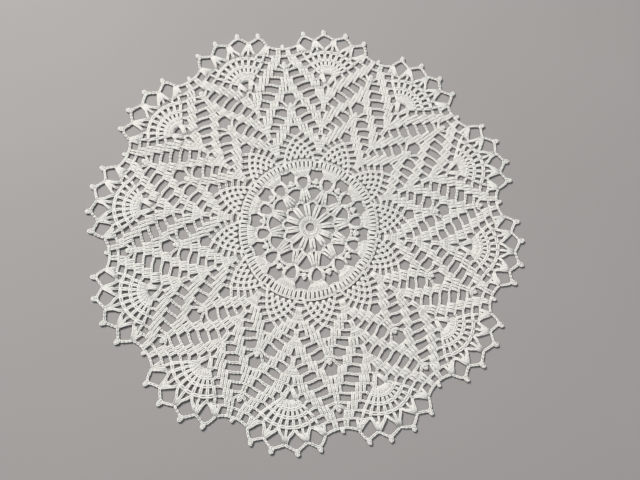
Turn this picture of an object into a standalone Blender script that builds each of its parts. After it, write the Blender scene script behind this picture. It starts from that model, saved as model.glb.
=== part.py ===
"""A round crocheted lace doily, lying flat, as one sheet cut through at its larger gaps.

The cloth is worked in rounds from a small ring. Twelve equal repeats follow one another
around it, each with a petal, an arch of trebles, a shell, a pineapple of small loops,
three solid bands that part and meet again with ladders of chain loops between them, and
a fan that ends in a picot edging.

A place on the cloth is a turn, in degrees clockwise from +Y, and a reach, in millimetres
from the ring's centre. In the tables a turn counts from the middle of a fan ("fan" and
"pair" rows) or from the middle of the valley between two fans ("valley" rows).
"""
import math

import bpy
from mathutils import Vector
from mathutils.geometry import delaunay_2d_cdt

# ---- driving dimensions ------------------------------------------------------------
MM = 0.001
REPEATS = 12
REPEAT_TURN = 360.0 / REPEATS
HALF_TURN = REPEAT_TURN / 2
SHEET_THICKNESS = 1.5       # two layers of cotton where a stitch's strands cross
RING_HOLE_RADIUS = 2.7
RING_HOLE_SIDES = 12
RUNG_ARCH = 0.6             # how far a ladder's chain bows outwards at its middle
COTTON = (0.74, 0.75, 0.70, 1.0)
COTTON_ROUGHNESS = 0.9

# Edge of the cloth from the middle of a fan to the middle of the valley beside it.
EDGE = (
    # turn, reach
    (0.0, 148.3),     # dip where the two middle arches meet
    (1.9, 150.0),
    (2.55, 151.9),
    (3.25, 155.0),    # picot of the middle arch
    (3.95, 151.9),
    (4.8, 148.2),
    (5.85, 145.9),    # dip between the middle and the side arch
    (7.3, 147.1),
    (8.45, 148.5),
    (9.0, 151.4),     # picot of the side arch
    (9.65, 148.3),
    (10.5, 143.8),
    (10.95, 140.9),   # corner of the fan
    (12.5, 139.3),
    (14.3, 138.4),
    (14.55, 140.3),
    (15.0, 141.2),    # picot in the valley
)

# Gaps that are mirror images of themselves: their right half, from foot to head.
MIDDLE_GAPS = (
    # name, axis, ((turn, reach), ...)
    ("petal", "fan", ((0, 8.5), (1.9, 11.6), (7.2, 15.5), (4.8, 17.7), (0, 18.4))),
    ("arch", "fan", ((0, 20.8), (9.8, 27.4), (5.5, 29.4), (0, 30.1))),
    ("shell foot", "fan", ((0, 36.3), (4.8, 33.6), (7.6, 36.6), (5.6, 40.6), (0, 42.3))),
    ("V stitch", "valley", ((0, 29.1), (5.2, 34.1), (3.2, 37.0), (0, 37.7))),
    ("pineapple tip", "valley", ((0, 68.4), (1.6, 69.4), (2.4, 72.2), (1.6, 75.2), (0, 76.0))),
    ("band meeting", "valley", ((0, 94.9), (1.4, 93.2), (2.55, 97.7), (1.75, 101.7), (0, 103.1))),
)

# Gaps of the two ladders, one on each side of a fan. A row gives the four corners, from
# the lower one next to the fan's middle, outwards and round.
LADDER_GAPS = (
    # name, (turn, reach) at the fan side: low, high; at the valley side: high, low
    ("inner ladder 2", ((1.8, 77.0), (3.0, 80.1), (7.1, 76.4), (6.7, 73.5))),
    ("inner ladder 3", ((5.0, 81.8), (5.6, 85.6), (10.7, 81.8), (10.0, 78.6))),
    ("inner ladder 4", ((7.4, 87.7), (8.2, 91.5), (12.2, 88.7), (12.1, 83.9))),
    ("outer ladder 2", ((1.3, 96.7), (2.2, 100.6), (6.1, 96.7), (5.4, 93.2))),
    ("outer ladder 3", ((4.1, 101.8), (4.5, 105.6), (9.0, 102.0), (8.1, 98.6))),
    ("outer ladder 4", ((6.3, 107.3), (6.8, 110.2), (11.1, 107.6), (11.1, 103.9))),
    ("outer ladder 5", ((8.7, 112.7), (9.8, 115.5), (13.0, 112.0), (12.7, 109.4))),
)

# Gaps under the edging's arches, one on each side of a fan.
EDGING_GAPS = (
    # name, ((turn, reach), ...)
    ("middle arch", ((2.4, 138.9), (1.2, 142.6), (0.9, 146.5), (2.3, 148.3), (3.4, 148.3),
                     (4.7, 144.9), (4.0, 141.8))),
    ("side arch", ((6.8, 134.5), (6.4, 138.7), (6.5, 144.0), (8.6, 145.9), (9.6, 144.2),
                   (9.5, 140.3), (8.2, 135.9))),
)

# Hand tension: how far the cloth of each repeat is pulled from its even place, in mm, at
# four reaches. "out" is away from the centre and "round" is clockwise.
TENSION_REACHES = (0.0, 59.0, 93.0, 127.0, 152.0)
TENSION = (
    # out, round at the centre, the pineapple, the ladders, the fan and the edging
    ((0, 0), (0.6, 0.0), (0.0, -0.3), (0.0, 0.7), (-1.2, 2.3)),
    ((0, 0), (-0.3, 0.0), (-0.9, 0.2), (0.0, 0.0), (-0.1, 1.2)),
    ((0, 0), (-0.6, 0.2), (-0.2, 0.0), (0.5, 0.3), (1.7, 0.9)),
    ((0, 0), (-1.6, 0.1), (-1.6, -0.2), (-1.5, -0.7), (-0.5, -1.0)),
    ((0, 0), (-1.1, 0.4), (-1.2, 0.2), (-1.9, -0.7), (-1.3, -2.1)),
    ((0, 0), (0.6, 1.0), (0.2, 0.5), (0.0, -0.3), (-0.4, -0.3)),
    ((0, 0), (2.5, 1.2), (1.6, 1.3), (-0.2, 0.7), (-1.6, 0.5)),
    ((0, 0), (2.7, 0.2), (2.5, 0.3), (1.0, 0.0), (1.2, -0.3)),
    ((0, 0), (0.4, -0.4), (1.0, -0.5), (0.2, 0.0), (-0.3, 1.5)),
    ((0, 0), (-0.5, -0.1), (-0.2, -0.2), (-0.9, -0.3), (-0.9, 0.4)),
    ((0, 0), (0.5, -0.1), (0.2, 0.0), (0.2, -0.4), (0.8, -0.3)),
    ((0, 0), (0.6, -0.3), (0.0, -0.5), (0.6, 0.0), (1.8, -0.3)),
)


def clear_scene():
    """Remove every object that the file holds."""
    for old in list(bpy.data.objects):
        bpy.data.objects.remove(old, do_unlink=True)


# ---- places on the cloth -----------------------------------------------------------
def eased(share):
    """Smooth step from 0 to 1."""
    return share * share * (3 - 2 * share)


def tension_of(repeat, reach):
    """Pull (out, round) on the middle of one repeat at one reach."""
    row = TENSION[repeat % REPEATS]
    for zone in range(len(TENSION_REACHES) - 1):
        low, high = TENSION_REACHES[zone], TENSION_REACHES[zone + 1]
        if reach <= high:
            share = eased((reach - low) / (high - low))
            return tuple(a + (b - a) * share for a, b in zip(row[zone], row[zone + 1]))
    return row[-1]


def place(turn, reach):
    """Point of the cloth, in mm from the ring's centre, with the hand tension in it."""
    repeat, share = divmod(turn / REPEAT_TURN, 1.0)
    share = eased(share)
    here = tension_of(int(repeat), reach)
    following = tension_of(int(repeat) + 1, reach)
    out, around = (a + (b - a) * share for a, b in zip(here, following))
    angle = math.radians(turn)
    outward = Vector((math.sin(angle), math.cos(angle)))
    clockwise = Vector((outward.y, -outward.x))
    return outward * (reach + out) + clockwise * around


# ---- outlines ----------------------------------------------------------------------
def mirrored(half):
    """Whole outline from its right half, whose first and last points may be on the axis."""
    left = [(-turn, reach) for turn, reach in reversed(half) if turn > 0]
    return list(half) + left


def edge_outline():
    """The cloth's scalloped edge, once round."""
    half = list(EDGE)
    repeat = [(-turn, reach) for turn, reach in reversed(half[1:-1])] + half
    return [place(REPEAT_TURN * number + turn, reach)
            for number in range(REPEATS) for turn, reach in repeat]


def bowed(corners):
    """Ladder gap with the middle of its lower and its upper chain bowed outwards."""
    low_in, high_in, high_out, low_out = corners
    top = ((high_in[0] + high_out[0]) / 2, (high_in[1] + high_out[1]) / 2 + RUNG_ARCH)
    foot = ((low_in[0] + low_out[0]) / 2, (low_in[1] + low_out[1]) / 2 + RUNG_ARCH)
    return [low_in, high_in, top, high_out, low_out, foot]


def gap_outlines():
    """Every gap of the cloth: the ring's hole, then each repeat's gaps."""
    hole = []
    for side in range(RING_HOLE_SIDES):
        hole.append(place(360.0 * side / RING_HOLE_SIDES, RING_HOLE_RADIUS))
    outlines = [hole]
    pairs = [bowed(corners) for _, corners in LADDER_GAPS]
    pairs += [list(corners) for _, corners in EDGING_GAPS]
    for number in range(REPEATS):
        fan = REPEAT_TURN * number
        for _, axis, half in MIDDLE_GAPS:
            middle = fan if axis == "fan" else fan + HALF_TURN
            outlines.append([place(middle + turn, reach) for turn, reach in mirrored(half)])
        for corners in pairs:
            for side in (1, -1):
                outlines.append([place(fan + side * turn, reach) for turn, reach in corners])
    return outlines


# ---- the sheet ---------------------------------------------------------------------
def box_middle(points):
    """Middle of the smallest upright box round some points."""
    xs = [point.x for point in points]
    ys = [point.y for point in points]
    return Vector(((min(xs) + max(xs)) / 2, (min(ys) + max(ys)) / 2))


def anticlockwise(outline):
    """The same outline, turned round where it runs clockwise."""
    following = outline[1:] + outline[:1]
    twice_area = sum(a.x * b.y - b.x * a.y for a, b in zip(outline, following))
    return outline if twice_area > 0 else outline[::-1]


def perforated_mesh(name, edge, gaps):
    """Flat mesh inside one edge and outside every gap, its box centred on the origin."""
    middle = box_middle(edge)
    points, outlines = [], []
    for outline in [edge] + gaps:
        first = len(points)
        points += [point - middle for point in anticlockwise(outline)]
        outlines.append(list(range(first, len(points))))
    inside_with_holes = 2
    merge_distance = 1e-4
    corners, _, faces, *_ = delaunay_2d_cdt(points, [], outlines, inside_with_holes, merge_distance)
    mesh = bpy.data.meshes.new(name)
    mesh.from_pydata([(x * MM, y * MM, 0.0) for x, y in corners], [], faces)
    mesh.update()
    return mesh


def cotton_material():
    """Off-white mercerised cotton."""
    material = bpy.data.materials.new("cotton")
    material.use_nodes = True
    surface = material.node_tree.nodes["Principled BSDF"]
    surface.inputs["Base Color"].default_value = COTTON
    surface.inputs["Roughness"].default_value = COTTON_ROUGHNESS
    surface.inputs["Metallic"].default_value = 0.0
    return material


def make_doily():
    """The whole cloth, one solid resting on z = 0."""
    mesh = perforated_mesh("doily", edge_outline(), gap_outlines())
    doily = bpy.data.objects.new("doily", mesh)
    bpy.context.scene.collection.objects.link(doily)
    doily.data.materials.append(cotton_material())
    sheet = doily.modifiers.new("sheet", "SOLIDIFY")
    sheet.thickness = SHEET_THICKNESS * MM
    sheet.offset = 1.0
    return doily


clear_scene()
make_doily()
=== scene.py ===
"""A round crocheted lace doily in off-white cotton, lying flat on a pale table.

Every stitch is worked from strands of cotton: a treble is two strands with a yarn-over
round them, and a chain is a row of small two-strand loops, each rising out of the one
before. The cloth is twelve equal repeats, pulled a little out of true by the hand tension.

A place on the cloth is a turn, in degrees clockwise from the middle of a fan, and a reach
from the ring's centre, in hundredths of the cloth's radius. Stitch sizes are in
millimetres, and the finished pieces are in metres.
"""
import math
import random

import bpy
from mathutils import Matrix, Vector


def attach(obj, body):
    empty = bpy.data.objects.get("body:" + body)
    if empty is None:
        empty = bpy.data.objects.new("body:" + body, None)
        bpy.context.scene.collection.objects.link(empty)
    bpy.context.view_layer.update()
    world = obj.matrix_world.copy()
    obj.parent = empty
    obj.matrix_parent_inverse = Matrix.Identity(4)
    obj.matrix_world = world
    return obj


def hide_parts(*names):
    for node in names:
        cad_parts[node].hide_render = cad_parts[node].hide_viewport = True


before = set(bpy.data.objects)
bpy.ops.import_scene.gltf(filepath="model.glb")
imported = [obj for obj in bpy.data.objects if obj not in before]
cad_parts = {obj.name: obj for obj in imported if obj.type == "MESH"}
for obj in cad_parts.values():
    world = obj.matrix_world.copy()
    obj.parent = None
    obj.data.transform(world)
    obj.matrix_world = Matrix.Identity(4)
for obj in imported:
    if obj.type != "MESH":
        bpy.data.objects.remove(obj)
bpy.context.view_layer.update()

# ---- sizes -------------------------------------------------------------------------
MM = 0.001
REACH_UNIT = 1.55                       # mm of cloth in one step of reach
REPEATS = 12
REPEAT_TURN = 360.0 / REPEATS
VALLEY = REPEAT_TURN / 2                # turn of the valley between two fans
UP = Vector((0.0, 0.0, 1.0))

STRAND_SIDES = 5
THINNEST_STRAND = 0.38                  # radius in mm
THICKEST_STRAND = 0.64                  # radius in mm
RADIUS_STRAY = 0.03                     # most that hand tension thins or fills a strand, in mm
SIZE_STRAY = 0.06                       # most that a loop is wider or narrower, as a share
TWIST_START = 3.0                       # most that a strand's twist starts along it, in mm
CURVE_PARTS = 8                         # parts between two places of a smooth line

# Chains: width over both strands, radius of a strand, length of a stitch, and height of the
# strands' middles above the table, all in mm.
PLAIN_CHAIN = {"width": 2.05, "radius": 0.50, "length": 2.35, "height": 0.66}
RING_CHAIN = {"width": 1.6, "radius": 0.38, "length": 1.9, "height": 0.66}
PINEAPPLE_CHAIN = {"width": 2.25, "radius": 0.54, "length": 2.2, "height": 0.66}
PICOT_CHAIN = {"width": 1.9, "radius": 0.46, "length": 1.8, "height": 0.80}
CHAIN_HEIGHT_STRAY = 0.05               # mm
LINK_SHAPE = (
    # how far along the stitch, how far its strands part, and their rise in mm
    (-0.22, 0.25, -0.22),
    (0.28, 0.95, 0.02),
    (0.72, 1.0, 0.10),
    (1.16, 0.3, 0.24),
)
LINK_FULLNESS = (0.72, 1.0, 1.0, 0.72)  # a strand's radius along the stitch

# Loops along the top of a row: width over both strands, radius of a strand, and height of
# the strands' middles above the table, all in mm.
TOPS = {"width": 1.9, "radius": 0.45, "height": 0.90}
FAN_TOPS = {"width": 2.7, "radius": 0.66, "height": 0.88}

# Trebles.
TREBLE_SPREAD = 0.235                   # from a treble's middle to its strands, in widths
TREBLE_STRAND = 0.29                    # radius of a treble's strands, in widths
WIDEST_TREBLE = 2.8                     # mm
TREBLE_HEIGHT_Z = 0.72                  # mm above the table, to the middles of the strands
TREBLE_LIFT = 0.2                       # most that one treble stands higher than another
TREBLE_TURN = 0.08                      # mm that one strand crosses over the other
TREBLE_RISE_STRAY = 0.03                # most that a strand rises or sinks on its way, in mm
TREBLE_PARTS = (0.0, 0.36, 0.7, 1.0)    # where a straight treble may sway
BENT_TREBLE_PARTS = 3
SWAY = 0.06                             # most that a straight treble sways, in mm
STRAND_SWAY = 0.1                       # most that one of its strands sways, in mm
FOOT_OVERLAP = 0.9                      # mm that a treble reaches into the stitch below it
END_TAPER = 0.75                        # a treble's radius at its ends, as a share of the rest
END_DIP = 0.1                           # mm that its ends sink below its middle

# How far a treble draws in at its middle, in widths, where it stands loose or packed.
LOOSE_WAISTS = (0.05, 0.05, 0.08, 0.12, 0.24)
PACKED_WAISTS = (0.0, 0.02, 0.04)

# The yarn-over that crosses a treble.
YARN_OVER_SIDES = 4
YARN_OVER_WIDEST = 2.35                 # mm
YARN_OVER_INSET = 0.12                  # mm from the treble's side to the yarn-over's end
YARN_OVER_SLANT = 0.62                  # mm that each half climbs
YARN_OVER_PLACE = 0.55                  # from the treble's middle down to the point below it
YARN_OVER_SHAPE = (
    # how far across, height in mm above the treble's strands, radius in mm
    (-1.0, -0.03, 0.23),
    (-0.45, 0.52, 0.29),
    (0.45, 0.56, 0.29),
    (1.0, 0.02, 0.23),
)

# ---- finish ------------------------------------------------------------------------
PLIES = 3
PLY_RISE = 1.0                          # mm along a strand from one ply to the next
FIBRES_ACROSS = 7.0                     # fibres in a ply
FIBRES_ALONG = 0.9                      # fibres in a mm along a strand
FUZZ_SCALE = 2600.0                     # spots in a metre, as for every scale below
AGED_SCALE = 11.0
HANDLED_SCALE = 420.0
GRAIN_SCALE = 1100.0
MOTTLE_SCALE = 5.0
CLOUD_DETAIL = 2.0
AGED_CONTRAST = 1.6                     # how sharply warm cotton parts from cool
AGED_OFFSET = 0.3
COTTON_BUMP = {"Strength": 0.75, "Distance": 0.16 * MM}
TABLE_BUMP = {"Strength": 0.25, "Distance": 0.1 * MM}

# What each pattern adds to the cotton's height and to its brightness, as a share. The ply's share
# of brightness is painted shade in the grooves between the plies; fibres and handled spots add
# tone that differs at random.
COTTON_RELIEF = {"ply": 0.7, "fibres": 0.35, "fuzz": 0.25}
COTTON_SHADE_AND_TONE = {"ply": 0.55, "fibres": 0.25, "handled": 0.3}

COTTON_ROUGHNESS = 0.9                  # in the grooves between the plies
PLY_GLOSS = 0.14                        # how much smoother the top of a ply is
COTTON_SHEEN = {"Sheen_Weight": 0.12, "Sheen_Roughness": 0.5}
TABLE_ROUGHNESS = 0.78
GRAIN_ROUGHNESS = 0.12                  # how much rougher the grain's peaks are
TABLE_SPECULAR = 0.2
COTTON_COOL = (0.80, 0.815, 0.785, 1.0)
COTTON_WARM = (0.88, 0.85, 0.825, 1.0)
# painted shade: the darker colour that the cotton takes in the grooves between its plies
COTTON_GROOVE_SHADE = (0.60, 0.60, 0.56, 1.0)
TABLE_SHADE = (0.315, 0.305, 0.30, 1.0)
TABLE_PALE = (0.345, 0.335, 0.33, 1.0)

# Sockets of Blender's Mix node by which it blends two colours.
MIX_SHARE = 0
MIX_LOW = 6
MIX_HIGH = 7
MIX_COLOUR = 2

# ---- table, light and camera -------------------------------------------------------
TABLE_HALF = 3.0                        # m, half of its side
TABLE_TOP = -0.00005                    # m, just under the cotton
KEY_LIGHT = {"place": (-1.2, 1.1, 1.3), "size": 0.65, "watts": 32.0, "spread": 130.0,
             "colour": (1.0, 0.97, 0.945)}
FILL_LIGHT = {"place": (0.9, -0.4, 1.0), "size": 1.2, "watts": 5.0, "spread": 180.0,
              "colour": (0.93, 0.97, 1.0)}
ROOM_LIGHT = (0.93, 0.96, 1.0, 1.0)
ROOM_STRENGTH = 0.22
CAMERA_PLACE = (-0.02304, -0.11895, 0.44839)
CAMERA_TILT = (13.353, -5.372, 6.035)   # degrees about x, y and z
FILM_WIDTH = 36.0                       # mm
LENS = 37.294                           # mm
NEAREST_SEEN = 0.01                     # m

# Middle of the cloth's box, in mm from the ring's centre.
CLOTH_MIDDLE = Vector((0.1939, 0.2784))

# Hand tension: how far the cloth of each repeat is pulled from its even place, in mm, at
# five reaches. "out" is away from the centre and "round" is clockwise. The numbers are the
# rounded output of a separate fitting program. They weren't set by hand.
TENSION_REACHES = (0.0, 59.0, 93.0, 127.0, 152.0)
TENSION = (
    # out, round at the centre, the pineapple, the ladders, the fan and the edging
    ((0, 0), (0.6, 0.0), (0.0, -0.3), (0.0, 0.7), (-1.2, 2.3)),
    ((0, 0), (-0.3, 0.0), (-0.9, 0.2), (0.0, 0.0), (-0.1, 1.2)),
    ((0, 0), (-0.6, 0.2), (-0.2, 0.0), (0.5, 0.3), (1.7, 0.9)),
    ((0, 0), (-1.6, 0.1), (-1.6, -0.2), (-1.5, -0.7), (-0.5, -1.0)),
    ((0, 0), (-1.1, 0.4), (-1.2, 0.2), (-1.9, -0.7), (-1.3, -2.1)),
    ((0, 0), (0.6, 1.0), (0.2, 0.5), (0.0, -0.3), (-0.4, -0.3)),
    ((0, 0), (2.5, 1.2), (1.6, 1.3), (-0.2, 0.7), (-1.6, 0.5)),
    ((0, 0), (2.7, 0.2), (2.5, 0.3), (1.0, 0.0), (1.2, -0.3)),
    ((0, 0), (0.4, -0.4), (1.0, -0.5), (0.2, 0.0), (-0.3, 1.5)),
    ((0, 0), (-0.5, -0.1), (-0.2, -0.2), (-0.9, -0.3), (-0.9, 0.4)),
    ((0, 0), (0.5, -0.1), (0.2, 0.0), (0.2, -0.4), (0.8, -0.3)),
    ((0, 0), (0.6, -0.3), (0.0, -0.5), (0.6, 0.0), (1.8, -0.3)),
)

# ---- chart: solid rows of trebles --------------------------------------------------
# A row stands on a foot line and ends at a head line. Rows on the "fan" axis and on the
# "valley" axis are symmetrical about it, so that only half a line's turn is given. "arm"
# rows are worked twice, one on each side of the fan, from the fan's side outwards.
MIDDLE_ROWS = (
    # axis, trebles, half turn and reach of the foot, half turn and reach of the head
    ("fan", 4, (1.9, 35.4), (2.5, 38.8)),
    ("fan", 6, (2.4, 38.8), (4.7, 41.6)),
    ("valley", 3, (2.6, 53.7), (1.8, 57.2)),
    ("valley", 3, (1.8, 57.2), (1.0, 58.9)),
    ("fan", 2, (1.4, 45.3), (1.3, 48.7)),
    ("fan", 6, (1.5, 48.7), (4.4, 52.7)),
    ("valley", 4, (2.5, 70.0), (2.25, 73.7)),
    ("valley", 2, (1.0, 74.0), (0.9, 77.4)),
    ("valley", 2, (0.9, 77.4), (0.7, 79.4)),
    ("fan", 2, (1.1, 57.8), (1.1, 61.4)),
    ("fan", 6, (1.3, 61.4), (3.7, 65.3)),
)
ARM_ROWS = (
    # trebles, foot from, foot to, head from, head to
    (3, (0.1, 41.9), (6.5, 40.8), (1.5, 44.9), (7.1, 43.5)),
    (3, (3.8, 44.7), (9.2, 43.0), (4.8, 48.1), (10.4, 46.0)),
    (3, (6.8, 47.4), (12.0, 45.8), (7.5, 50.7), (13.0, 49.4)),
    (3, (10.2, 50.1), (14.5, 49.6), (10.9, 53.4), (14.95, 53.3)),
    (3, (0.1, 53.1), (5.0, 52.3), (1.1, 56.9), (5.7, 55.8)),
    (3, (3.0, 56.8), (7.2, 55.7), (3.8, 59.9), (8.1, 58.9)),
    (3, (5.8, 59.5), (9.6, 59.0), (6.4, 62.9), (10.4, 62.7)),
    (3, (8.7, 63.0), (12.4, 62.7), (9.4, 66.2), (13.3, 66.0)),
    (3, (10.9, 66.4), (14.8, 66.3), (11.5, 69.8), (14.8, 69.7)),
    (3, (0.1, 65.6), (4.1, 65.0), (0.8, 69.2), (4.5, 68.5)),
    (3, (2.3, 69.8), (5.9, 69.0), (2.9, 73.4), (6.5, 72.1)),
    (3, (4.4, 72.8), (8.0, 71.7), (5.3, 76.3), (8.9, 75.2)),
    (3, (6.6, 75.9), (10.3, 75.2), (7.5, 79.0), (10.9, 78.8)),
    (3, (8.7, 79.2), (12.1, 78.5), (9.5, 82.3), (12.9, 82.0)),
    (3, (10.4, 82.4), (13.6, 81.8), (11.2, 85.3), (14.1, 85.0)),
    (2, (12.4, 85.3), (14.2, 85.2), (12.9, 88.8), (14.3, 88.6)),
)

# The shell: eight trebles that spread from the V stitch, and eight more on top of them.
SHELL_TREBLES = 8
SHELL_WIDEST = (2.5, 2.5)               # mm at a treble's foot and at its head
SHELL_LEAN_AT = 10                      # power by which only the last heads lean
SHELL_ROWS = (
    # foot: half turn, reach; head: half turn, reach; turn by which the last heads lean
    ((7.0, 24.8), (10.3, 28.0), 0.0, PACKED_WAISTS),
    ((14.4, 28.3), (14.4, 31.7), 1.5, LOOSE_WAISTS),
)

# The fan spreads about a point on its own middle line.
FAN_CENTRE = 72.7
FAN_TREBLES = 9
FAN_STEP = 12.2                         # degrees from one treble to the next
FAN_ROWS = (
    # foot and head: reach from the fan's centre; greatest width in mm at foot and at head
    ((3.9, 7.5), (3.0, 3.0), PACKED_WAISTS),
    ((7.5, 11.0), (1.9, 2.4), PACKED_WAISTS),
    ((11.0, 15.2), (2.2, 2.8), LOOSE_WAISTS),
)

# Trebles that stand alone or gather into a cluster: the places that each leg passes, from
# foot to head. All but the middle one are worked on both sides of the fan.
LEGS = (
    # name, width in mm at the foot, places
    ("fan foot", 2.0, ((0.3, 71.0), (0.95, 73.0), (1.55, 74.8), (1.9, 76.3))),
    ("fan foot", 2.0, ((0.6, 70.7), (1.6, 72.8), (2.4, 74.6), (2.6, 76.0))),
    ("fan side", 2.2, ((6.2, 85.0), (6.4, 86.2), (6.5, 87.3))),
    ("fan side", 2.0, ((7.9, 83.6), (8.35, 85.0), (8.9, 86.4))),
    ("middle cluster", 2.1, ((0.0, 87.9), (0.0, 91.0), (0.0, 95.0))),
    ("middle cluster", 2.3, ((2.4, 87.6), (2.1, 89.4), (1.4, 90.7), (0.8, 92.0), (0.5, 93.6),
                             (0.4, 95.2))),
    ("side cluster", 2.3, ((2.2, 87.9), (3.1, 90.1), (4.3, 91.9), (5.2, 93.6))),
    ("side cluster", 2.3, ((3.15, 90.2), (4.3, 91.1), (5.1, 92.5), (5.45, 93.8))),
    ("side cluster", 1.8, ((4.3, 87.0), (4.55, 89.3), (5.15, 91.6), (5.6, 93.7))),
    ("side cluster", 2.3, ((5.3, 89.5), (5.4, 91.2), (5.65, 93.6))),
    ("side cluster", 2.3, ((6.5, 87.0), (6.0, 89.4), (5.9, 91.4), (5.85, 93.6))),
    ("outer cluster", 2.2, ((7.2, 87.3), (8.5, 88.4), (9.4, 89.9), (10.1, 91.1))),
    ("outer cluster", 2.2, ((7.9, 87.2), (9.1, 88.4), (9.9, 90.1), (10.3, 91.1))),
    ("outer cluster", 2.2, ((8.9, 86.9), (9.7, 88.5), (10.2, 90.0), (10.4, 91.1))),
    ("outer cluster", 2.2, ((10.3, 86.1), (10.35, 88.1), (10.65, 90.8))),
)
LEG_HEAD_WIDTH = 1.8                    # mm

# The ring in the middle, with its first round of short trebles.
RING_STITCHES = 24
RING_REACH = 2.5
RING_TREBLE_REACHES = (2.7, 4.5)
RING_TREBLE_WIDTHS = (1.2, 1.6)         # mm at the foot and at the head
RING_TOP_REACH = 4.6

# The petals' trebles, on both sides of a fan or of a valley.
PETAL_LEGS = (
    # axis, places from foot to head, width in mm at the foot and at the head
    ("valley", ((7.2, 4.5), (5.5, 7.6), (4.1, 10.8)), 2.2, 2.2),
    ("fan", ((3.4, 12.5), (8.9, 15.6), (11.5, 18.2)), 2.2, 1.4),
    ("fan", ((8.9, 11.4), (12.6, 14.3), (13.8, 18.2)), 2.2, 1.3),
    ("valley", ((1.9, 18.0), (7.8, 21.5), (5.0, 24.5)), 1.4, 1.7),
    ("valley", ((4.4, 18.0), (9.1, 21.1), (6.2, 24.9)), 1.4, 1.7),
)

# ---- chart: chains -----------------------------------------------------------------
# Free chains, as the places that they pass. "pair" chains are worked on both sides of the
# fan, "fan" and "valley" chains are symmetrical, and only their right half is given.
FREE_CHAINS = {
    "ladder_chains": (
        ("pair", (1.6, 49.0), (4.8, 48.2)),
        ("pair", (3.7, 52.3), (7.7, 50.8)),
        ("pair", (5.6, 56.0), (8.3, 55.1), (10.9, 53.4)),
        ("pair", (8.0, 59.3), (9.8, 59.3), (11.5, 59.0), (13.5, 57.8)),
        ("pair", (13.7, 59.0), (11.8, 62.1), (10.4, 62.7)),
        ("pair", (1.2, 61.5), (4.0, 59.8)),
        ("pair", (3.5, 65.1), (6.4, 63.2)),
        ("pair", (4.5, 68.5), (7.0, 67.7), (9.4, 66.2)),
        ("pair", (6.6, 72.0), (9.0, 71.3), (11.3, 69.9)),
        ("pair", (8.2, 75.5), (11.2, 74.7), (13.4, 73.8)),
        ("pair", (11.0, 78.9), (12.6, 78.4), (14.1, 77.7)),
        ("pair", (14.3, 79.0), (13.4, 80.6), (12.5, 81.6)),
        ("pair", (2.5, 75.3), (2.9, 73.4)),
        ("pair", (4.8, 77.8), (5.3, 76.3)),
        ("pair", (6.0, 80.6), (7.5, 79.2)),
        ("pair", (7.5, 83.7), (9.5, 82.6)),
        ("pair", (6.4, 87.4), (7.8, 87.2), (9.4, 86.6), (11.2, 85.3)),
        ("valley", (0.0, 49.9), (2.1, 49.4)),
        ("valley", (0.0, 66.6), (1.8, 66.1)),
        ("fan", (0.0, 45.5), (0.9, 45.3), (1.7, 44.8)),
        ("fan", (0.0, 57.7), (0.7, 57.5), (1.3, 56.9)),
        ("fan", (0.0, 71.0), (0.5, 70.7), (0.9, 69.6)),
        ("valley", (0.0, 84.9), (0.5, 84.9), (1.0, 85.0)),
    ),
    "edging_chains": (
        ("pair", (0.1, 95.5), (1.8, 96.8), (3.2, 97.5), (4.4, 95.9), (5.6, 93.9)),
        ("pair", (5.7, 93.8), (7.2, 94.7), (8.7, 95.8), (9.5, 94.6), (10.1, 92.7), (10.5, 91.1)),
        ("pair", (10.7, 90.6), (12.3, 89.3), (14.3, 88.7)),
        ("valley", (0.0, 88.6), (0.7, 88.7)),
    ),
    "flower_chains": (
        ("fan", (0.0, 12.5), (4.0, 12.3), (8.5, 11.5), (14.4, 10.4)),
        ("fan", (0.0, 19.5), (6.0, 19.1), (11.0, 18.4), (14.4, 17.9)),
        ("fan", (0.0, 20.9), (4.5, 21.3), (8.5, 22.0)),
        ("valley", (0.0, 24.5), (3.0, 24.4), (5.2, 23.9)),
    ),
    "shell_chains": (
        ("fan", (0.0, 27.5), (2.6, 27.6), (5.0, 28.0)),
        ("fan", (0.0, 30.9), (1.6, 31.2), (3.4, 32.0)),
        ("fan", (0.0, 32.9), (2.4, 32.7), (4.5, 32.2)),
    ),
}

# The pineapple: rows of loops, each row one loop narrower than the row below it. Every
# row gives the places where its loops peak, on one side of the valley or on it.
PINEAPPLE_FEET = ((3.2, 32.4), (8.0, 32.8), (12.65, 32.9))
PINEAPPLE_PEAKS = (
    ((5.7, 35.0), (10.3, 35.3), (15.0, 35.4)),
    ((7.2, 36.9), (12.4, 37.4)),
    ((9.5, 39.0), (15.0, 39.4)),
    ((12.1, 41.0),),
    ((15.0, 43.3),),
)
PINEAPPLE_SIDES = (
    # from the band, to the peak
    ((1.9, 35.6), (5.7, 35.0)),
    ((2.5, 38.8), (7.2, 36.9)),
    ((4.6, 41.2), (9.5, 39.0)),
    ((7.1, 43.7), (12.1, 41.0)),
    ((10.4, 46.0), (15.0, 43.3)),
)
LOOP_BOW = 0.6                          # reach by which the sides of a loop bow outwards

# ---- chart: picots -----------------------------------------------------------------
PICOTS = (
    # axis, turn and reach of the foot, turn and reach of the tip, width in mm
    ("pair", (3.15, 97.4), (3.2, 100.2), 3.9),
    ("pair", (8.75, 95.8), (8.9, 98.3), 3.8),
    ("valley", (0.0, 88.7), (0.0, 91.2), 3.4),
    ("fan", (0.0, 20.4), (0.0, 23.5), 3.5),
    ("valley", (0.0, 58.4), (0.0, 61.4), 3.5),
    ("valley", (0.0, 78.9), (0.0, 82.3), 3.9),
)
PICOT_LEAN = 0.9                        # most that a picot's tip leans aside, in mm
PICOT_FOOT = 0.8                        # width at the foot, as a share of the shoulders'
PICOT_SHOULDER = 0.6                    # from the foot to the shoulders, as a share
PICOT_SHOULDER_STRAY = 0.1              # most that the shoulders move, as a share
PICOT_TIP_INSET = 0.7                   # mm from the tip to the middle of its chain

# The cloth's separate pieces, in the order that seeds their hand tension.
PIECES = ("trebles", "yarn_overs", "row_tops", "ladder_chains", "edging_chains",
          "flower_chains", "shell_chains", "pineapple_loops", "picots")


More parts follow.
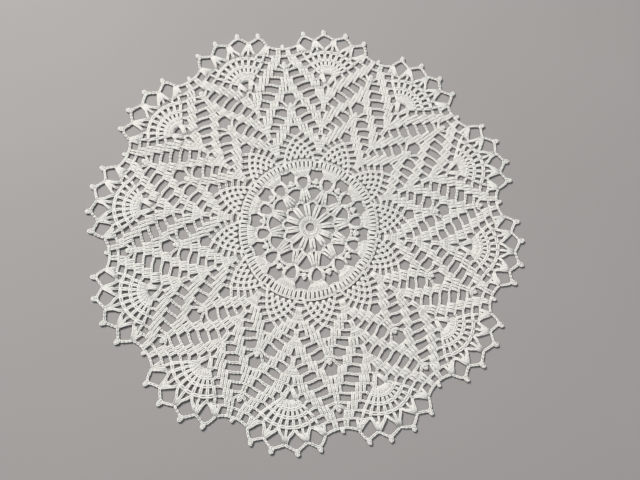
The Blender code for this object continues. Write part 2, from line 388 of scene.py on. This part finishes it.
# ---- places on the cloth -----------------------------------------------------------
def eased(share):
    """Smooth step from 0 to 1."""
    return share * share * (3 - 2 * share)


def tension_of(repeat, reach):
    """Pull (out, round) on the middle of one repeat at one reach, in mm."""
    row = TENSION[repeat % REPEATS]
    for zone in range(len(TENSION_REACHES) - 1):
        low, high = TENSION_REACHES[zone], TENSION_REACHES[zone + 1]
        if reach <= high:
            share = eased((reach - low) / (high - low))
            return tuple(a + (b - a) * share for a, b in zip(row[zone], row[zone + 1]))
    return row[-1]


def spot(turn, steps):
    """Point of the cloth in mm from the middle of its box, with the hand tension in it."""
    reach = steps * REACH_UNIT
    repeat, share = divmod(turn / REPEAT_TURN, 1.0)
    share = eased(share)
    here = tension_of(int(repeat), reach)
    following = tension_of(int(repeat) + 1, reach)
    out, around = (a + (b - a) * share for a, b in zip(here, following))
    angle = math.radians(turn)
    outward = Vector((math.sin(angle), math.cos(angle)))
    clockwise = Vector((outward.y, -outward.x))
    return outward * (reach + out) + clockwise * around - CLOTH_MIDDLE


def about_fan(angle, radius):
    """Turn and reach of a point given about the fan's own centre."""
    across = radius * math.sin(math.radians(angle))
    along = FAN_CENTRE + radius * math.cos(math.radians(angle))
    return math.degrees(math.atan2(across, along)), math.hypot(across, along)


def between(a, b, share):
    """Chart place part of the way from a to b."""
    return tuple(p + (q - p) * share for p, q in zip(a, b))


def curve_through(points, step):
    """Points about one step apart on a smooth (Catmull-Rom) line through the given ones."""
    spaced = []
    for index in range(len(points) - 1):
        before = points[max(index - 1, 0)]
        a, b = points[index], points[index + 1]
        after = points[min(index + 2, len(points) - 1)]
        for part in range(CURVE_PARTS):
            t = part / CURVE_PARTS
            spaced.append(0.5 * (2 * a + (b - before) * t
                                 + (2 * before - 5 * a + 4 * b - after) * t * t
                                 + (3 * a - before - 3 * b + after) * t * t * t))
    spaced.append(points[-1])
    lengths = [0.0]
    for a, b in zip(spaced, spaced[1:]):
        lengths.append(lengths[-1] + (b - a).length)
    count = max(1, round(lengths[-1] / step))
    line, at = [], 0
    for number in range(count + 1):
        wanted = lengths[-1] * number / count
        while at < len(lengths) - 2 and lengths[at + 1] < wanted:
            at += 1
        share = (wanted - lengths[at]) / (lengths[at + 1] - lengths[at])
        line.append(spaced[at].lerp(spaced[at + 1], min(1.0, share)))
    return line


# ---- cotton ------------------------------------------------------------------------
class Cotton:
    """Strands of cotton gathered into one piece."""

    def __init__(self, name, seed):
        self.name = name
        self.hand = random.Random(seed)
        self.corners, self.faces, self.twist = [], [], []

    def stray(self, most):
        """Small chance offset, from -most to most."""
        return self.hand.uniform(-most, most)

    def strand(self, path, radii, sides=STRAND_SIDES):
        """One closed, round strand along a path, with its radius at each point, in mm."""
        first, last = len(self.corners), len(path) - 1
        along = self.hand.uniform(0, TWIST_START)
        ring_at = []
        for index, (point, radius) in enumerate(zip(path, radii)):
            run = (path[min(index + 1, last)] - path[max(index - 1, 0)]).normalized()
            side = run.cross(UP).normalized()
            rise = side.cross(run)
            for corner in range(sides):
                angle = 2 * math.pi * corner / sides
                self.corners.append(point + side * (math.cos(angle) * radius)
                                    + rise * (math.sin(angle) * radius))
            if index:
                along += (point - path[index - 1]).length
            ring_at.append(along)
        for index in range(last):
            low = first + index * sides
            for corner in range(sides):
                following = (corner + 1) % sides
                self.faces.append((low + corner, low + following,
                                   low + sides + following, low + sides + corner))
                here, there = corner / sides, (corner + 1) / sides
                self.twist += ((here, ring_at[index]), (there, ring_at[index]),
                               (there, ring_at[index + 1]), (here, ring_at[index + 1]))
        foot = [first + corner for corner in reversed(range(sides))]
        head = [first + last * sides + corner for corner in range(sides)]
        self.faces += [tuple(foot), tuple(head)]
        self.twist += [(0.5, ring_at[0])] * sides + [(0.5, ring_at[-1])] * sides

    def link(self, a, b, width, height, radius):
        """One chain stitch from a to b: two strands that part and close again."""
        along = (b - a).normalized()
        across = Vector((along.y, -along.x))
        spread = width / 2 - radius
        for side in (-1, 1):
            path = []
            for share, parted, rise in LINK_SHAPE:
                flat = a.lerp(b, share) + across * (side * spread * parted)
                path.append(Vector((flat.x, flat.y, height + rise)))
            self.strand(path, [radius * full for full in LINK_FULLNESS])

    def chain(self, points, width, radius, length, height):
        """A chain along a smooth line through flat points in mm."""
        line = curve_through(points, length)
        for a, b in zip(line, line[1:]):
            wide = width * (1 + self.stray(SIZE_STRAY))
            self.link(a, b, wide, height + self.stray(CHAIN_HEIGHT_STRAY), radius)

    def treble(self, places, foot_width, head_width, waists):
        """The two standing strands of a treble along flat points in mm."""
        last = len(places) - 1
        pull = self.hand.choice(waists)
        height = TREBLE_HEIGHT_Z + self.hand.uniform(0, TREBLE_LIFT)
        for side in (-1, 1):
            line, radii = [], []
            for index, flat in enumerate(places):
                at_end = index in (0, last)
                share = index / last
                run = (places[min(index + 1, last)] - places[max(index - 1, 0)]).normalized()
                width = foot_width + (head_width - foot_width) * share
                waist = 1 - pull * math.sin(math.pi * share)
                sway = side * width * TREBLE_SPREAD * waist + self.stray(STRAND_SWAY)
                turn = side * TREBLE_TURN * math.cos(math.pi * share)
                turn += self.stray(TREBLE_RISE_STRAY)
                flat = flat + Vector((run.y, -run.x)) * sway
                line.append(Vector((flat.x, flat.y, height + turn - at_end * END_DIP)))
                radius = TREBLE_STRAND * width * waist + self.stray(RADIUS_STRAY)
                radius = min(max(radius, THINNEST_STRAND), THICKEST_STRAND)
                radii.append(radius * (END_TAPER if at_end else 1.0))
            self.strand(line, radii)

    def yarn_over(self, middle, along, width):
        """Strand that crosses a treble's front, rising to the right."""
        across = Vector((along.y, -along.x))
        half = width / 2 - YARN_OVER_INSET
        line, radii = [], []
        for share, rise, radius in YARN_OVER_SHAPE:
            flat = middle + across * (half * share) + along * (YARN_OVER_SLANT * share)
            line.append(Vector((flat.x, flat.y, TREBLE_HEIGHT_Z + rise)))
            radii.append(radius)
        self.strand(line, radii, sides=YARN_OVER_SIDES)

    def piece(self, material):
        """The finished piece, with the twist of its strands as a UV layer."""
        mesh = bpy.data.meshes.new(self.name)
        mesh.from_pydata([corner * MM for corner in self.corners], [], self.faces)
        layer = mesh.uv_layers.new(name="twist")
        layer.data.foreach_set("uv", [value for pair in self.twist for value in pair])
        mesh.polygons.foreach_set("use_smooth", [True] * len(mesh.polygons))
        mesh.materials.append(material)
        mesh.update()
        made = bpy.data.objects.new(self.name, mesh)
        bpy.context.scene.collection.objects.link(made)
        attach(made, "root")
        return made


# ---- stitches placed by the chart --------------------------------------------------
def worked_both_ways(places, fan, axis):
    """Lines of places for one repeat: a mirrored pair, or one line across an axis."""
    if axis == "pair":
        return [[(fan + side * turn, reach) for turn, reach in places] for side in (1, -1)]
    middle = fan if axis == "fan" else fan + VALLEY
    left = [(middle - turn, reach) for turn, reach in reversed(places) if turn > 0]
    return [left + [(middle + turn, reach) for turn, reach in places]]


def anchored(foot, head):
    """The foot of a treble, taken on into the stitch below it."""
    return foot + (foot - head).normalized() * FOOT_OVERLAP


def work_row(cloth, foot, head, count):
    """A solid row: trebles between two lines, and the loops along their tops."""
    feet = [spot(*between(*foot, (number + 0.5) / count)) for number in range(count)]
    heads = [spot(*between(*head, (number + 0.5) / count)) for number in range(count)]
    foot_width = (spot(*foot[0]) - spot(*foot[1])).length / count
    head_width = (spot(*head[0]) - spot(*head[1])).length / count
    for a, b in zip(feet, heads):
        work_treble(cloth, (anchored(a, b), b), foot_width, head_width)
    line = [spot(*between(*head, share / count)) for share in range(count + 1)]
    work_tops(cloth, line, **TOPS)


def standing_line(places, stray):
    """Flat points up a treble: swaying between two places, or smooth through more of them."""
    if len(places) == 2:
        return [places[0].lerp(places[1], share) + Vector((stray(SWAY), stray(SWAY)))
                for share in TREBLE_PARTS]
    return curve_through(places, (places[-1] - places[0]).length / BENT_TREBLE_PARTS)


def work_treble(cloth, places, foot_width, head_width, waists=LOOSE_WAISTS):
    """One treble along flat points in mm, with its yarn-over."""
    places = standing_line(places, cloth["trebles"].stray)
    cloth["trebles"].treble(places, min(foot_width, WIDEST_TREBLE),
                            min(head_width, WIDEST_TREBLE), waists)
    middle = len(places) // 2
    along = (places[middle] - places[middle - 1]).normalized()
    crossing = places[middle].lerp(places[middle - 1], YARN_OVER_PLACE)
    width = min((foot_width + head_width) / 2, YARN_OVER_WIDEST)
    cloth["yarn_overs"].yarn_over(crossing, along, width)


def work_tops(cloth, line, width, radius, height):
    """The loops along the top of a row, one to each treble."""
    for a, b in zip(line, line[1:]):
        wide = width * (1 + cloth["row_tops"].stray(SIZE_STRAY))
        cloth["row_tops"].link(a, b, wide, height, radius)


def work_solid_rows(cloth, fan):
    """The solid rows of one repeat: those across an axis, then both arms of the bands."""
    for axis, count, (foot_turn, foot_reach), (head_turn, head_reach) in MIDDLE_ROWS:
        middle = fan if axis == "fan" else fan + VALLEY
        foot = ((middle - foot_turn, foot_reach), (middle + foot_turn, foot_reach))
        head = ((middle - head_turn, head_reach), (middle + head_turn, head_reach))
        work_row(cloth, foot, head, count)
    for count, *corners in ARM_ROWS:
        for side in (1, -1):
            a, b, c, d = ((fan + side * turn, reach) for turn, reach in corners)
            work_row(cloth, (a, b), (c, d), count)


def work_shell(cloth, valley):
    """The two rows of the shell round one valley."""
    for foot, head, lean, waists in SHELL_ROWS:
        lines = []
        for (half_turn, reach), by in ((foot, 0.0), (head, lean)):
            line = []
            for number in range(SHELL_TREBLES):
                share = (2 * number + 1) / SHELL_TREBLES - 1
                aside = math.copysign(by * abs(share) ** SHELL_LEAN_AT, share)
                line.append(spot(valley + half_turn * share + aside, reach))
            lines.append(line)
        work_spread(cloth, *lines, SHELL_WIDEST, waists, TOPS)


def work_spread(cloth, feet, heads, widest, waists, tops):
    """Trebles from one line of points to another, and the loops along their tops."""
    last = len(feet) - 1
    for number, (foot, head) in enumerate(zip(feet, heads)):
        near = min(number, last - 1)
        foot_width = min((feet[near] - feet[near + 1]).length, widest[0])
        head_width = min((heads[near] - heads[near + 1]).length, widest[1])
        work_treble(cloth, (anchored(foot, head), head), foot_width, head_width, waists)
    work_tops(cloth, heads, **tops)


def work_fan(cloth, fan):
    """Three rows of trebles that spread about the fan's centre."""
    for reaches, widest, waists in FAN_ROWS:
        lines = []
        for reach in reaches:
            places = [about_fan((number - (FAN_TREBLES - 1) / 2) * FAN_STEP, reach)
                      for number in range(FAN_TREBLES)]
            lines.append([spot(fan + turn, steps) for turn, steps in places])
        work_spread(cloth, *lines, widest, waists, FAN_TOPS)


def work_legs(cloth, fan):
    """Single trebles and clusters, whose legs bend at the knee."""
    for _, foot_width, places in LEGS:
        both = worked_both_ways(places, fan, "pair")
        on_axis = places[0][0] == 0
        for line in both[:1] if on_axis else both:
            work_treble(cloth, [spot(*place) for place in line], foot_width, LEG_HEAD_WIDTH,
                        PACKED_WAISTS)


def work_chains(cloth, name, table, fan):
    """The free chains of one table."""
    for axis, *places in table:
        for line in worked_both_ways(places, fan, axis):
            cloth[name].chain([spot(*place) for place in line], **PLAIN_CHAIN)


def work_picots(cloth, fan):
    """Small closed loops of chain, wide at the foot and narrow at the tip."""
    picots = cloth["picots"]
    for axis, (foot_turn, foot_reach), (tip_turn, tip_reach), width in PICOTS:
        sides = (1, -1) if axis == "pair" else (1,)
        middle = fan + VALLEY if axis == "valley" else fan
        for side in sides:
            foot = spot(middle + side * foot_turn, foot_reach)
            tip = spot(middle + side * tip_turn, tip_reach)
            along = (tip - foot).normalized()
            across = Vector((along.y, -along.x))
            aside = across * (width - PICOT_CHAIN["width"]) / 2
            tip = tip - along * PICOT_TIP_INSET + across * picots.stray(PICOT_LEAN)
            shoulder = foot.lerp(tip, PICOT_SHOULDER + picots.stray(PICOT_SHOULDER_STRAY))
            picots.chain([foot - aside * PICOT_FOOT, shoulder - aside, tip, shoulder + aside,
                          foot + aside * PICOT_FOOT], **PICOT_CHAIN)


def work_pineapple(cloth, fan):
    """Rows of loops that narrow towards the pineapple's tip."""
    loops = cloth["pineapple_loops"]

    def whole(places):
        """Places on both sides of the valley, from those on one side or on it."""
        return list(places) + [(2 * VALLEY - turn, reach) for turn, reach in reversed(places)
                               if turn < VALLEY]

    def bowed(a, b):
        """Middle of a loop's side, bowed outwards."""
        turn, reach = between(a, b, 0.5)
        return turn, reach + LOOP_BOW

    feet = whole(PINEAPPLE_FEET)
    for peaks in PINEAPPLE_PEAKS:
        peaks = whole(peaks)
        for foot, peak, end in zip(feet, peaks, feet[1:]):
            places = (foot, bowed(foot, peak), peak, bowed(end, peak), end)
            loops.chain([spot(fan + turn, reach) for turn, reach in places], **PINEAPPLE_CHAIN)
        feet = peaks
    for side in PINEAPPLE_SIDES:
        for line in worked_both_ways(side, fan, "pair"):
            loops.chain([spot(*place) for place in line], **PINEAPPLE_CHAIN)


def work_flower(cloth, fan):
    """The petals: pairs of trebles up to the arch, and from the arch to the V stitch."""
    for axis, places, foot_width, head_width in PETAL_LEGS:
        middle = fan if axis == "fan" else fan + VALLEY
        for line in worked_both_ways(places, middle, "pair"):
            work_treble(cloth, [spot(*place) for place in line], foot_width, head_width)


def work_ring(cloth):
    """The ring that the cloth starts from, with its first round of short trebles."""
    turns = [360.0 * number / RING_STITCHES for number in range(RING_STITCHES + 1)]
    cloth["flower_chains"].chain([spot(turn, RING_REACH) for turn in turns], **RING_CHAIN)
    for before, after in zip(turns, turns[1:]):
        line = [spot((before + after) / 2, reach) for reach in RING_TREBLE_REACHES]
        work_treble(cloth, line, *RING_TREBLE_WIDTHS)
    work_tops(cloth, [spot(turn, RING_TOP_REACH) for turn in turns], **TOPS)


# ---- finishes ----------------------------------------------------------------------
class Value:
    """A number or colour that varies over a surface, worked with in plain arithmetic."""

    def __init__(self, finish, socket):
        self.finish, self.socket = finish, socket

    def worked(self, operation, *terms):
        """Result of one operation of Blender's Math node."""
        return self.finish.node("ShaderNodeMath", {"operation": operation}, dict(enumerate(terms)))

    def __add__(self, other):
        return self.worked("ADD", self, other)

    __radd__ = __add__

    def __sub__(self, other):
        return self.worked("SUBTRACT", self, other)

    def __rsub__(self, other):
        return self.worked("SUBTRACT", other, self)

    def __mul__(self, other):
        return self.worked("MULTIPLY", self, other)

    __rmul__ = __mul__

    def __abs__(self):
        return self.worked("ABSOLUTE", self)

    def sine(self):
        """Sine of this value, in radians."""
        return self.worked("SINE", self)

    def output(self, name):
        """Another output of the node that this value comes from."""
        return Value(self.finish, self.socket.node.outputs[name])


class Finish:
    """The nodes of one material."""

    def __init__(self, name):
        self.material = bpy.data.materials.new(name)
        self.material.use_nodes = True
        self.tree = self.material.node_tree
        self.surface = self.tree.nodes["Principled BSDF"]

    def put(self, socket, value):
        """Link a value to a socket, or set a plain number or colour on it."""
        if isinstance(value, Value):
            self.tree.links.new(value.socket, socket)
        else:
            socket.default_value = value

    def node(self, kind, settings, sockets, output=0):
        """A new node with its settings and then its sockets filled in."""
        made = self.tree.nodes.new(kind)
        for name, setting in settings.items():
            setattr(made, name, setting)
        for key, value in sockets.items():
            self.put(made.inputs[key], value)
        return Value(self, made.outputs[output])

    def blend(self, share, low, high):
        """Colour between two others."""
        return self.node("ShaderNodeMix", {"data_type": "RGBA"},
                         {MIX_SHARE: share, MIX_LOW: low, MIX_HIGH: high}, output=MIX_COLOUR)

    def cloud(self, place, scale):
        """Soft random value, from 0 to 1."""
        return self.node("ShaderNodeTexNoise", {},
                         {"Vector": place, "Scale": scale, "Detail": CLOUD_DETAIL})

    def relief(self, height, look):
        """Bump of one height, with its own strength and distance."""
        return self.node("ShaderNodeBump", {}, {**look, "Height": height})

    def coat(self, **sockets):
        """Fill in the surface's own sockets."""
        for name, value in sockets.items():
            self.put(self.surface.inputs[name.replace("_", " ")], value)
        return self.material


def cotton_material():
    """Mercerised crochet cotton: twisted plies with fine fibres, and painted shade in the grooves.
    """
    cotton = Finish("off_white_cotton")
    twist = cotton.node("ShaderNodeUVMap", {"uv_map": "twist"}, {})
    around = cotton.node("ShaderNodeSeparateXYZ", {}, {"Vector": twist})
    along = around.output("Y")
    where = cotton.node("ShaderNodeTexCoord", {}, {}, output="Object")

    turns = around * PLIES + along * (1 / PLY_RISE)
    ply = abs((turns * math.pi).sine())
    lie = cotton.node("ShaderNodeCombineXYZ", {},
                      {"X": turns * FIBRES_ACROSS, "Y": along * FIBRES_ALONG})
    fibres = cotton.cloud(lie, 1.0)
    fuzz = cotton.cloud(where, FUZZ_SCALE)
    height = (ply * COTTON_RELIEF["ply"] + fibres * COTTON_RELIEF["fibres"]
              + fuzz * COTTON_RELIEF["fuzz"])
    bump = cotton.relief(height, COTTON_BUMP)

    aged = cotton.cloud(where, AGED_SCALE)
    handled = cotton.cloud(where, HANDLED_SCALE)
    clean = cotton.blend(aged * AGED_CONTRAST - AGED_OFFSET, COTTON_COOL, COTTON_WARM)
    # Painted shade: the base colour falls towards the darker groove colour where the plies meet;
    # fibres and handled spots lighten it at random.
    groove_shade_and_tone = (ply * COTTON_SHADE_AND_TONE["ply"] + fibres * COTTON_SHADE_AND_TONE["fibres"]
           + handled * COTTON_SHADE_AND_TONE["handled"])
    return cotton.coat(Base_Color=cotton.blend(groove_shade_and_tone, COTTON_GROOVE_SHADE, clean),
                       Roughness=COTTON_ROUGHNESS - ply * PLY_GLOSS, Normal=bump,
                       **COTTON_SHEEN)


def table_material():
    """Pale matt lacquer with a faint mottle and a fine orange-peel grain."""
    table = Finish("pale_table")
    where = table.node("ShaderNodeTexCoord", {}, {}, output="Object")
    grain = table.cloud(where, GRAIN_SCALE)
    mottle = table.cloud(where, MOTTLE_SCALE)
    return table.coat(Base_Color=table.blend(mottle, TABLE_SHADE, TABLE_PALE),
                      Roughness=TABLE_ROUGHNESS + grain * GRAIN_ROUGHNESS,
                      Normal=table.relief(grain, TABLE_BUMP), Specular_IOR_Level=TABLE_SPECULAR)


# ---- setting -----------------------------------------------------------------------
def make_table():
    """Flat table top under the cloth."""
    corners = [(x * TABLE_HALF, y * TABLE_HALF, TABLE_TOP)
               for x, y in ((-1, -1), (1, -1), (1, 1), (-1, 1))]
    mesh = bpy.data.meshes.new("floor")
    mesh.from_pydata(corners, [], [(0, 1, 2, 3)])
    mesh.materials.append(table_material())
    floor = bpy.data.objects.new("floor", mesh)
    bpy.context.scene.collection.objects.link(floor)


def soft_light(name, place, size, watts, spread, colour):
    """Square softbox that faces the middle of the cloth."""
    light = bpy.data.lights.new(name, "AREA")
    light.shape = "SQUARE"
    light.size = size
    light.energy = watts
    light.spread = math.radians(spread)
    light.color = colour
    lamp = bpy.data.objects.new(name, light)
    lamp.location = place
    lamp.rotation_euler = (-Vector(place)).to_track_quat("-Z", "Y").to_euler()
    bpy.context.scene.collection.objects.link(lamp)


def make_light():
    """A softbox at the upper left, a large weak one at the right, and a dim room."""
    soft_light("key_light", **KEY_LIGHT)
    soft_light("fill_light", **FILL_LIGHT)
    world = bpy.data.worlds.new("room")
    world.use_nodes = True
    room = world.node_tree.nodes["Background"]
    room.inputs["Color"].default_value = ROOM_LIGHT
    room.inputs["Strength"].default_value = ROOM_STRENGTH
    bpy.context.scene.world = world
    bpy.context.scene.view_settings.view_transform = "Khronos PBR Neutral"


def make_camera():
    """Held above the cloth, a little nearer its lower edge and tilted."""
    lens = bpy.data.cameras.new("camera")
    lens.sensor_width = FILM_WIDTH
    lens.lens = LENS
    lens.clip_start = NEAREST_SEEN
    camera = bpy.data.objects.new("camera", lens)
    camera.location = CAMERA_PLACE
    camera.rotation_euler = [math.radians(tilt) for tilt in CAMERA_TILT]
    bpy.context.scene.collection.objects.link(camera)
    bpy.context.scene.camera = camera


# ---- the whole cloth ---------------------------------------------------------------
def make_cloth():
    """All the pieces of cotton, worked repeat by repeat round the ring."""
    cloth = {name: Cotton(name, number) for number, name in enumerate(PIECES)}
    work_ring(cloth)
    for repeat in range(REPEATS):
        fan = repeat * REPEAT_TURN
        work_flower(cloth, fan)
        work_shell(cloth, fan + VALLEY)
        work_pineapple(cloth, fan)
        work_solid_rows(cloth, fan)
        work_fan(cloth, fan)
        work_legs(cloth, fan)
        for name, table in FREE_CHAINS.items():
            work_chains(cloth, name, table, fan)
        work_picots(cloth, fan)
    cotton = cotton_material()
    pieces = {name: stitches.piece(cotton) for name, stitches in cloth.items()}
    trebles = pieces.pop("trebles")
    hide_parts("doily")


make_table()
make_light()
make_camera()
make_cloth()
